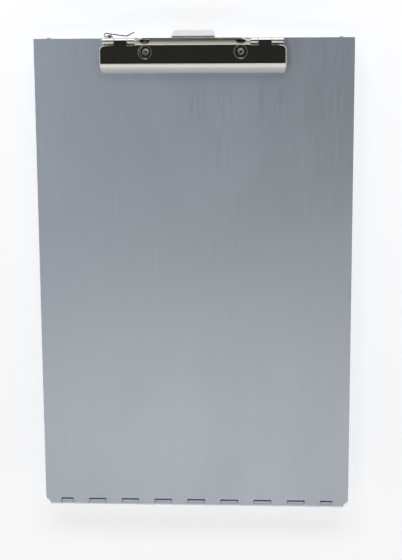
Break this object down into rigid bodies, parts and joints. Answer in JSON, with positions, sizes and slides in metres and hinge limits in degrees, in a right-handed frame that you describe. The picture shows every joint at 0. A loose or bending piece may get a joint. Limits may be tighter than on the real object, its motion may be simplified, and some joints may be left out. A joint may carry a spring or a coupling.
{
  "type": "storage clipboard",
  "caption": "Shallow folded aluminium tray with a latch tab and a hinged writing cover that carries a sprung metal clip with a thumb lever and a pen holder.",
  "frame": {"origin": "middle of the tray's flat back, the face that the board rests on", "axes": "+X to the right as written on, +Y up the board to the clip, +Z out of the writing face"},
  "size_m": [0.2414, 0.375, 0.0465],
  "materials": {
    "cover_aluminium": "satin",
    "tray_aluminium": "satin",
    "clip_nickel": "polished",
    "rivet_metal": "satin",
    "pin_steel": "satin",
    "spring_steel": "satin"
  },
  "bodies": {
    "tray": {"storage_tray": "tray_aluminium", "hinge_pin": "pin_steel", "corner_rivet_top_left": "rivet_metal", "corner_rivet_top_right": "rivet_metal", "corner_rivet_bottom_left": "rivet_metal", "corner_rivet_bottom_right": "rivet_metal", "latch_rivet_left": "rivet_metal", "latch_rivet_right": "rivet_metal"},
    "cover": {"cover_plate": "cover_aluminium", "clip_base": "clip_nickel", "clip_pivot_pin": "pin_steel", "clip_spring_left": "spring_steel", "clip_spring_right": "spring_steel", "clip_rivet_left": "rivet_metal", "clip_rivet_right": "rivet_metal", "pen_holder_rivet": "rivet_metal"},
    "jaw": {"clip_jaw": "clip_nickel"},
    "latch": {"latch_tab": "spring_steel"},
    "pen_leaf": {"pen_holder": "spring_steel"}
  },
  "joints": [
    {"name": "cover_hinge", "type": "hinge", "parent": "tray", "child": "cover", "pos_m": [0, -0.18145, 0.0227], "axis": [1, 0, 0], "range_deg": [0, 175]},
    {"name": "jaw_pivot", "type": "hinge", "parent": "cover", "child": "jaw", "pos_m": [0, 0.18205, 0.0334], "axis": [-1, 0, 0], "range_deg": [0, 35], "stiffness_Nm_per_rad": 0.25, "springref_deg": -68.75, "deforming": ["clip_spring_left", "clip_spring_right"]},
    {"name": "latch_flex", "type": "hinge", "parent": "tray", "child": "latch", "pos_m": [0, 0.18485, 0.008], "axis": [-1, 0, 0], "range_deg": [0, 5], "stiffness_Nm_per_rad": 0.8},
    {"name": "pen_flex", "type": "hinge", "parent": "cover", "child": "pen_leaf", "pos_m": [-0.0622, 0.18525, 0.03005], "axis": [0, 0, 1], "range_deg": [0, 4], "stiffness_Nm_per_rad": 0.5}
  ]
}
